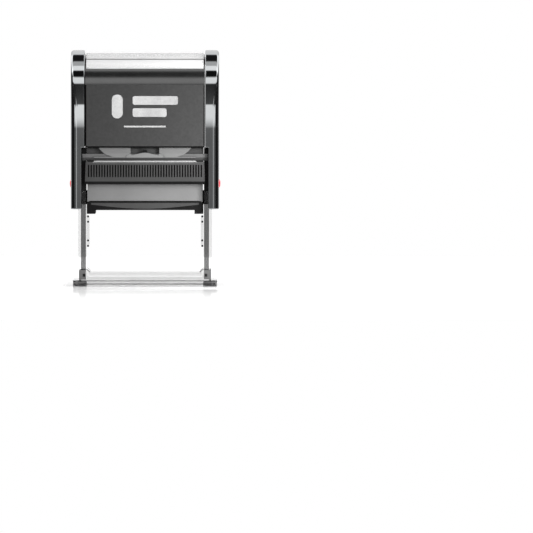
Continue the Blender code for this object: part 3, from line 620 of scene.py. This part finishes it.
def make_label(name):
    """A matte label panel with small round corners."""
    low, high = box(name)
    bottom = low.z + 0.5 * MM
    top = SHOULDER_Z - 0.12 * MM
    middle = (bottom + top) / 2
    outline = rounded_rectangle(high.x - 0.3 * MM, (top - bottom) / 2, 0.25 * MM, 3, (0.0, middle))
    made = as_object(f"{name}_fine", prism(outline, "Y", low.y, high.y))
    soften(made, 0.06 * MM, 2, 50.0)
    finish_piece(made, "housing", "matte_panel", [name])


make_label("label_panel_front")
make_label("label_panel_rear")

for node, material, width in (
    ("flip_cam_left_front", "clear_plastic", 0.2),
    ("flip_cam_left_rear", "clear_plastic", 0.2),
    ("flip_cam_right_front", "clear_plastic", 0.2),
    ("flip_cam_right_rear", "clear_plastic", 0.2),
    ("base_bridge", "dark_grey", 0.3),
    ("spring_post_left", "dark_grey", 0.3),
    ("spring_post_right", "dark_grey", 0.3),
    ("pad_cartridge", "black_plastic", 0.3),
    ("ink_pad", "ink_felt", 0.5),
    ("text_plate", "satin_grey", 0.3),
    ("plate_cushion", "cushion_foam", 0.2),
    ("rubber_die", "die_rubber", 0.12),
    ("axle_pin_left", "spring_steel", 0.2),
    ("axle_pin_right", "spring_steel", 0.2),
    ("carrier_yoke", "black_plastic", 0.3),
):
    carry(node, material, width * MM)

# ---------------------------------------------------------------- return springs


def make_spring(name):
    """A coil of round wire that stands on its post."""
    low, high = box(name)
    centre = (low + high) / 2
    length = high.z - low.z
    wire = 0.4 * MM
    radius = (high.x - low.x) / 2 - wire
    turns, turn_steps, sides = 7, 40, 10
    end_flatness = 0.6
    bm = bmesh.new()
    rings = []
    for i in range(turns * turn_steps + 1):
        part = i / (turns * turn_steps)
        angle = math.tau * turns * part
        rise = part - math.sin(math.tau * part) / math.tau * end_flatness
        out = Vector((math.cos(angle), math.sin(angle), 0.0))
        middle = Vector((centre.x, centre.y, low.z + wire + (length - 2 * wire) * rise)) + out * radius
        ring = []
        for k in range(sides):
            turn = math.tau * k / sides
            lift = Vector((0, 0, wire * math.sin(turn)))
            ring.append(bm.verts.new(middle + out * wire * math.cos(turn) + lift))
        rings.append(ring)
    loft(bm, rings)
    made = as_object(f"{name}_fine", bm)
    soften(made, 0.0)
    finish_piece(made, "base", "spring_steel", [name])
    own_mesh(made)


make_spring("return_spring_left")
make_spring("return_spring_right")

# ---------------------------------------------------------------- base


def make_foot():
    """The foot plate in three layers with round outer edges, and a low rim at its front and rear. The inset
    middle layer and the top layer's bevels are in darker clear plastic as painted shade.
    """
    low, high = box("foot_frame")

    def slanted(face):
        return 0.15 < abs(face.normal.z) < 0.98

    # The inset middle layer stands for a shadow gap and the top layer's bevels for dark edges: both painted
    # shade.
    for label, start, end, inset, edge, material, second in (
        ("bottom", 0.0, 0.75, 0.0, 0.3, "clear_plastic", None),
        ("shade_gap", 0.78, 1.45, 0.15, 0.1, "clear_shaded_edge", None),
        ("top", 1.48, 3.3, 0.0, 0.4, "clear_plastic", "clear_shaded_edge"),
    ):
        outline = rounded_rectangle(high.x - inset * MM, high.y, 3 * MM, 8)
        made = as_object(f"foot_frame_{label}", prism(outline, "Z", low.z + start * MM, low.z + end * MM))
        combine(made, [block((-30.9 * MM, -24 * MM, -MM), (30.9 * MM, 24 * MM, 5 * MM))], "DIFFERENCE")
        soften(made, edge * MM, 3, 50.0)
        finish_piece(made, "base", material, ["foot_frame"], second, slanted)
    right = in_metres([(29.0, 7.6), (30.65, 9.0), (31.05, 9.0), (31.05, 3.35)])
    for end, label in ((-1, "front"), (1, "rear")):
        middle, half_depth = end * 24.75 * MM, 0.75 * MM
        rim = prism(mirrored(right) + right, "Y", middle - half_depth, middle + half_depth)
        piece = as_object(f"foot_rim_{label}", rim)
        soften(piece, 0.2 * MM, 2, 60.0)
        finish_piece(piece, "base", "clear_rim", ["foot_frame"])


def make_clip(side, name):
    """A clip, and the dark catch on each of its ends."""
    high = box(name)[1]
    made = carry(name, "rail_grey", 0.2 * MM)
    left, right = span(side, 31.6 * MM, 32.9 * MM)
    parts = []
    for end in (-1, 1):
        near, far = sorted((end * (high.y - 0.2 * MM), end * (high.y + 0.25 * MM)))
        parts.append(block((left, near, 5.2 * MM), (right, far, 6.7 * MM)))
    catch = as_object(f"{name}_catch", gathered(parts))
    soften(catch, 0.12 * MM)
    finish_piece(catch, "base", "black_plastic")


make_clip(-1, "foot_clip_left")
make_clip(1, "foot_clip_right")


def make_gusset_shade_lines():
    """Painted shade lines, in black plastic, along the edges of the corner gussets on the foot's rims."""
    line = [(28.9, 7.75), (30.7, 9.3), (30.95, 9.0), (29.1, 7.4)]
    parts = []
    for side in (-1, 1):
        for end in (-1, 1):
            near, far = sorted((end * 25.3 * MM, end * 25.7 * MM))
            parts.append(prism(in_metres([(side * x, z) for x, z in line]), "Y", near, far))
    made = as_object("foot_gusset_shade_lines", gathered(parts))
    soften(made, 0.06 * MM, 1)
    finish_piece(made, "base", "black_plastic")


make_gusset_shade_lines()


def make_leg(side, name):
    """The lower leg in clear plastic: a web tinted darker than its paler flange, the darker tint being
    painted shade, and a black upper end inside the housing as painted shade.
    """
    for label, bottom, top, inner, outer, edge, material in (
        ("web", 0.0, 50.2, 20.0, 33.9, 0.15, "smoky_clear"),
        ("flange", 0.0, 50.2, 33.92, 40.0, 0.15, "pale_clear"),
        ("upper", 50.3, 80.0, 20.0, 40.0, 0.3, "black_plastic"),
    ):
        made = cad_copy(name, f"{name}_{label}")
        low, high = span(side, inner * MM, outer * MM)
        combine(made, [block((low, -30 * MM, bottom * MM), (high, 30 * MM, top * MM))], "INTERSECT")
        soften(made, edge * MM, 3)
        finish_piece(made, "base", material, [name])


make_foot()
make_leg(-1, "leg_left")
make_leg(1, "leg_right")


def make_rail():
    """The rail: an upright grey face over a dark slope."""
    half = box("front_rail")[1].x
    profile = [(-24.2, 70.1), (-24.2, 68.2), (-23.3, 66.5), (-22.8, 66.5), (-22.8, 70.1)]
    made = as_object("front_rail_fine", prism(in_metres(profile), "X", -half, half))
    soften(made, 0.15 * MM)

    def on_slope(face):
        return face.center.z < 68.1 * MM

    finish_piece(made, "base", "rail_grey", ["front_rail"], "dark_grey", on_slope)


def make_wing(side, name):
    """A wing beside the catch: a concave outer edge, and a lower strip that leans out."""
    points = [(24.5, 73.3), (23.0, 71.6), (21.8, 70.5), (20.0, 69.5), (18.0, 68.85), (17.0, 68.6)]
    points += [(26.6, 68.5), (27.2, 68.1), (10.2, 68.1), (10.2, 69.0), (7.6, 70.5), (7.6, 73.3)]
    bm = prism(in_metres([(side * x, z) for x, z in points]), "Y", -24.75 * MM, -24.5 * MM)
    whole = bm.verts[:] + bm.edges[:] + bm.faces[:]
    bmesh.ops.bisect_plane(bm, geom=whole, plane_co=(0, 0, 70.3 * MM), plane_no=(0, 0, 1))
    for vert in bm.verts:
        if vert.co.y < -24.7 * MM and vert.co.z < 70.2 * MM:
            vert.co.y = -25.15 * MM
    made = as_object(f"{name}_fine", bm)
    soften(made, 0.0)
    finish_piece(made, "base", "light_grey", [name])


def make_latch():
    """The catch between the wings: a long tongue whose top edge swells to a nub in the middle."""
    left = [(-9.9, 68.1), (-9.9, 68.9), (-8.6, 69.9), (-7.4, 70.2), (-7.2, 69.4)]
    half, swell, steps = 7.0, 1.3, 24
    top = []
    for i in range(steps + 1):
        x = -half + 2 * half * i / steps
        top.append((x, 69.4 + swell * (0.5 + 0.5 * math.cos(math.pi * x / half)) ** 0.8))
    tongue = prism(in_metres(left + top + mirrored(left)), "Y", -25.05 * MM, -24.5 * MM)
    made = as_object("pad_latch_fine", tongue)
    nub = rounded_rectangle(1.2 * MM, 0.9 * MM, 0.5 * MM, 4, (0.0, 71.4 * MM))
    combine(made, [prism(nub, "Y", -24.95 * MM, -24.5 * MM)], "UNION")
    soften(made, 0.22 * MM, 3, 30.0)

    # The nub gets black plastic: painted shade of the dark recess behind the catch.
    def nub_shade(face):
        return face.center.z > 70.9 * MM

    finish_piece(made, "base", "satin_grey", ["pad_latch"], "black_plastic", nub_shade)


make_rail()
make_wing(-1, "rail_wing_left")
make_wing(1, "rail_wing_right")
make_latch()


def make_cam_shade_dots(side, name):
    """Dark dots through the clear cam rails, in pairs near their ends: painted shade for the rails' dark
    refraction spots.
    """
    rings = [circle((side * 30.25 * MM, z * MM), 0.55 * MM, 16) for z in (36.7, 33.9, 24.0, 21.1)]
    made = as_object(name, gathered([prism(ring, "Y", -5.25 * MM, -2.9 * MM) for ring in rings]))
    soften(made, 0.12 * MM)
    finish_piece(made, "base", "black_plastic")


make_cam_shade_dots(-1, "cam_shade_dots_left")
make_cam_shade_dots(1, "cam_shade_dots_right")

# ---------------------------------------------------------------- ink pad drawer


def make_grip():
    """The drawer's front bar with its row of slots, and a pale lip along the top."""
    profile = [(-24.3, 54.0), (-25.1, 55.5), (-25.1, 66.0), (-23.6, 66.0), (-23.6, 54.0)]
    bm = prism(in_metres(profile), "X", -1.0, 1.0)
    half, taper = 31.8, 0.45
    for vert in bm.verts:
        rise = (vert.co.z - 54.3 * MM) / (11.7 * MM)
        vert.co.x *= (half - taper * rise) * MM
    made = as_object("pad_grip_fine", bm)
    count, pitch = 43, 1.42 * MM
    slots = []
    for i in range(count):
        x = (i - (count - 1) / 2) * pitch
        slots.append(block((x - 0.36 * MM, -26 * MM, 57.8 * MM), (x + 0.36 * MM, -24 * MM, 64.3 * MM)))
    combine(made, [gathered(slots)], "DIFFERENCE")
    soften(made, 0.08 * MM)

    # Slot faces get black plastic: painted shade in the slots.
    def slot_shade(face):
        return -24.9 * MM < face.center.y < -23.8 * MM

    finish_piece(made, "pad_drawer", "dark_grey", ["pad_grip"], "black_plastic", slot_shade)
    left = [(-27.6, 65.4), (-27.6, 65.9), (-26.6, 66.45)]
    bm = prism(in_metres(left + mirrored(left)), "Y", -25.15 * MM, -24.5 * MM)
    lean = 0.52
    for vert in bm.verts:
        if vert.co.y < -25 * MM:
            vert.co.y = -25.15 * MM + (vert.co.z - 65.4 * MM) * lean
    lip = as_object("pad_grip_lip", bm)
    soften(lip, 0.06 * MM, 1)
    finish_piece(lip, "pad_drawer", "lip_grey")


make_grip()

# ---------------------------------------------------------------- turning plate


def make_carrier():
    """The turning carrier: the CAD shape, and fuller fronts with round shoulders, a hollow lens and feet."""
    carry("plate_carrier", "black_plastic", 0.25 * MM)
    wide, top, corner_radius = 30.8, 45.2, 2.2
    lens_top, lens_floor, lens_slope = 44.2, 20.05, 0.11
    corner = arc((wide - corner_radius, top - corner_radius), corner_radius, 0.0, math.pi / 2, 8)
    right = [(26.2, 40.3), (26.2, 38.3), (wide, 38.3)] + corner
    lens = [(-28.6, lens_top), (28.6, lens_top), (28.6, 43.2)]
    lens += [(x, 42.9 - 1.9 * math.cos(math.pi * x / 52.0)) for x in range(26, -28, -2)]
    lens += [(-28.6, 43.2)]

    # The lens faces get dark grey, lighter than the black carrier: painted highlight.
    def lens_highlight(face):
        within = 20.02 * MM < abs(face.center.y) < 20.45 * MM
        return within and face.center.z > 40.6 * MM and abs(face.normal.y) > 0.8

    for end, label in ((-1, "front"), (1, "rear")):
        low, high = sorted((end * 19.6 * MM, end * 20.5 * MM))
        face = as_object(f"plate_carrier_{label}", prism(in_metres(right + mirrored(right)), "Y", low, high))
        low, high = sorted((end * lens_floor * MM, end * 21.0 * MM))
        combine(face, [prism(in_metres(lens), "Y", low, high)], "DIFFERENCE")
        for vert in face.data.vertices:
            if abs(abs(vert.co.y) - lens_floor * MM) < 0.01 * MM and vert.co.z < 43.5 * MM:
                vert.co.y = end * (lens_floor * MM + (lens_top * MM - vert.co.z) * lens_slope)
        soften(face, 0.15 * MM)
        finish_piece(face, "plate", "black_plastic", (), "dark_grey", lens_highlight)


make_carrier()

# ---------------------------------------------------------------- lock buttons


def make_button(side, name):
    """A lock button with a domed cap over the CAD stem and ears."""
    middle = middle_height(name)
    dome = ((37.75, 0.05), (38.9, 0.05), (39.25, 0.15), (39.55, 0.5), (39.75, 1.0), (39.87, 1.6), (39.9, 2.1))
    bm = bmesh.new()
    rings = []
    for x, shrink in dome:
        half_y, half_z, radius = ((size - shrink) * MM for size in (5.2, 2.45, 2.4))
        ring = rounded_rectangle(half_y, half_z, radius, 8, (0.0, middle))
        rings.append([bm.verts.new((side * x * MM, y, z)) for y, z in ring])
    loft(bm, rings)
    made = cad_copy(name, f"{name}_fine")
    low, high = span(side, 30 * MM, 37.85 * MM)
    combine(made, [block((low, -20 * MM, 40 * MM), (high, 20 * MM, 70 * MM))], "INTERSECT")
    combine(made, [bm], "UNION")
    soften(made, 0.1 * MM, 2, 50.0)
    finish_piece(made, body_of(name), "red_plastic", [name])


make_button(-1, "lock_button_left")
make_button(1, "lock_button_right")

# ---------------------------------------------------------------- label


def make_mark():
    """A plain silver mark on the front label: an upright pill, two bars, and a thin line below."""
    front = box("label_panel_front")[0].y
    low, high = front - 0.08 * MM, front + 0.1 * MM
    pill = rounded_rectangle(2.9 * MM, 6.3 * MM, 2.8 * MM, 8, (-14.6 * MM, 95.2 * MM))
    mark = as_object("label_mark", prism(pill, "Y", low, high))
    bars = []
    for x, z, half_x, half_z in ((5.5, 98.4, 12.0, 2.3), (2.5, 92.0, 9.0, 2.3), (0.0, 84.6, 11.0, 0.45)):
        bar = rounded_rectangle(half_x * MM, half_z * MM, half_z * 0.5 * MM, 6, (x * MM, z * MM))
        bars.append(prism(bar, "Y", low, high))
    combine(mark, bars, "UNION")
    soften(mark, 0.03 * MM, 1)
    finish_piece(mark, "housing", "silver_print")


make_mark()

# ---------------------------------------------------------------- stage, light and camera


BRIGHTEST_STRIP = 4.6
# Strength by the angle in degrees up from the front: 90 is straight up, and 180 the rear.
STUDIO_STRIPS = (
    (-180, 1.15), (-172, 1.1), (-165, 0.30), (-90, 0.20), (-10, 0.05), (-3, 0.10), (0, 0.74),
    (5, 4.2), (21, 4.4), (26, 0.03), (45, 0.03), (49, 4.6), (63, 4.6),
    (66, 2.2), (80, 2.2), (86, 0.05), (116, 0.05), (124, 3.3), (150, 2.1), (168, 1.1), (180, 1.15),
)


def make_world():
    """White to the camera. Elsewhere a dark studio with long soft boxes along X, placed by angle round X."""
    world = bpy.data.worlds.new("studio")
    bpy.context.scene.world = world
    world.use_nodes = True
    tree = world.node_tree
    tree.nodes.clear()
    axes = tree.nodes.new("ShaderNodeSeparateXYZ")
    tree.links.new(tree.nodes.new("ShaderNodeTexCoord").outputs["Generated"], axes.inputs[0])
    front = calculate(tree, "MULTIPLY", axes.outputs["Y"], -1.0)
    sideways = calculate(tree, "ABSOLUTE", axes.outputs["X"])
    up = axes.outputs["Z"]

    def step(value, low, high, to_low, to_high):
        return ranged(tree, value, to_low, to_high, low, high, "SMOOTHSTEP")

    def product(first, *others):
        for other in others:
            first = calculate(tree, "MULTIPLY", first, other)
        return first

    angle = calculate(tree, "ARCTAN2", up, front)
    turn = calculate(tree, "ADD", product(angle, 1.0 / math.tau), 0.5)
    ramp = tree.nodes.new("ShaderNodeValToRGB")
    ramp.color_ramp.interpolation = "LINEAR"
    elements = ramp.color_ramp.elements
    while len(elements) < len(STUDIO_STRIPS):
        elements.new(0.5)
    for element, (degrees, value) in zip(elements, STUDIO_STRIPS):
        element.position = degrees / 360.0 + 0.5
        element.color = (*grey(value / BRIGHTEST_STRIP), 1.0)
    tree.links.new(turn, ramp.inputs["Fac"])
    strips = product(ramp.outputs["Color"], step(sideways, 0.72, 0.90, 1.0, 0.0), BRIGHTEST_STRIP)
    side_boxes = product(step(sideways, 0.42, 0.56, 0.0, 1.0), step(up, 0.25, 0.45, 0.05, 4.0))
    pillar_lines = product(
        step(sideways, 0.27, 0.31, 0.0, 1.0),
        step(sideways, 0.40, 0.44, 2.2, 0.0),
        step(up, 0.04, 0.10, 1.0, 0.0),
        step(up, -0.06, -0.035, 0.0, 1.0),
        step(front, 0.0, 0.3, 0.0, 1.0),
    )
    total = calculate(tree, "ADD", calculate(tree, "ADD", strips, side_boxes), pillar_lines)
    path = tree.nodes.new("ShaderNodeLightPath")
    seen = tree.nodes.new("ShaderNodeBackground")
    seen.inputs["Color"].default_value = (1.0, 1.0, 1.0, 1.0)
    studio = tree.nodes.new("ShaderNodeBackground")
    tree.links.new(total, studio.inputs["Strength"])
    output = tree.nodes.new("ShaderNodeOutputWorld")
    mixed = mixed_shader(tree, path.outputs["Is Camera Ray"], studio.outputs[0], seen.outputs[0])
    tree.links.new(mixed, output.inputs["Surface"])


make_world()


def make_light():
    """A small soft box close by, low in front on the right, which lights the flat fronts more there."""
    data = bpy.data.lights.new("near_right", "AREA")
    data.shape = "RECTANGLE"
    data.size = 0.03
    data.size_y = 0.08
    data.energy = 0.56
    data.specular_factor = 0.0
    light = linked("near_right", data)
    light.location = (0.072, -0.10, 0.072)
    aim = Vector((0.0, -0.02, 0.072)) - light.location
    light.rotation_euler = aim.to_track_quat("-Z", "Y").to_euler()
    light.visible_glossy = False
    light.visible_transmission = False
    light.visible_camera = False


make_light()


def make_floor():
    """A pale table that fades into the white, and mirrors only just in front of the stamp and behind it."""
    bm = bmesh.new()
    bmesh.ops.create_circle(bm, cap_ends=True, segments=96, radius=0.9)
    floor = as_object("floor", bm)
    tree, unused_shader = new_material("floor")
    tree.nodes.remove(unused_shader)
    vector = coordinates(tree)
    matte = tree.nodes.new("ShaderNodeBsdfDiffuse")
    tree.links.new(shades(tree, noise(tree, vector, 6.0), grey(0.36), grey(0.38)), matte.inputs["Color"])
    glow = tree.nodes.new("ShaderNodeEmission")
    glow.inputs["Strength"].default_value = 0.55
    table = tree.nodes.new("ShaderNodeAddShader")
    tree.links.new(matte.outputs[0], table.inputs[0])
    tree.links.new(glow.outputs[0], table.inputs[1])
    mirror = tree.nodes.new("ShaderNodeBsdfGlossy")
    mirror.inputs["Roughness"].default_value = 0.04
    fresnel = tree.nodes.new("ShaderNodeFresnel")
    fresnel.inputs["IOR"].default_value = 1.35
    away = tree.nodes.new("ShaderNodeVectorMath")
    away.operation = "LENGTH"
    tree.links.new(vector, away.inputs[0])
    axes = tree.nodes.new("ShaderNodeSeparateXYZ")
    tree.links.new(vector, axes.inputs[0])
    near = ranged(tree, away.outputs["Value"], 1.0, 0.05, 0.03, 0.55)
    within = ranged(tree, calculate(tree, "ABSOLUTE", axes.outputs["X"]), 1.0, 0.0, 0.041, 0.050)
    share = calculate(tree, "MULTIPLY", fresnel.outputs[0], 0.80)
    share = calculate(tree, "MULTIPLY", calculate(tree, "MULTIPLY", share, near), within)
    mixed = mixed_shader(tree, share, table.outputs[0], mirror.outputs[0])
    tree.links.new(mixed, material_output(tree).inputs["Surface"])
    floor.data.materials.append(M["floor"])
    floor.location.z = -0.05 * MM


make_floor()


def make_camera():
    """A long lens far in front, almost level, that puts the stamp where the photo shows it."""
    data = bpy.data.cameras.new("camera")
    camera = linked("camera", data)
    distance = 12.0
    elevation = math.radians(1.0)
    width = 282.5 * MM
    data.sensor_width = 36.0
    data.lens = data.sensor_width * distance / width
    data.clip_end = 100.0
    target = Vector((64.3 * MM, 0.0, 10.1 * MM))
    back = Vector((0.0, -math.cos(elevation), math.sin(elevation)))
    camera.location = target + back * distance
    camera.rotation_euler = (math.pi / 2 - elevation, 0.0, 0.0)
    bpy.context.scene.camera = camera


make_camera()

settings = bpy.context.scene.view_settings
settings.view_transform = "Standard"
settings.look = "None"
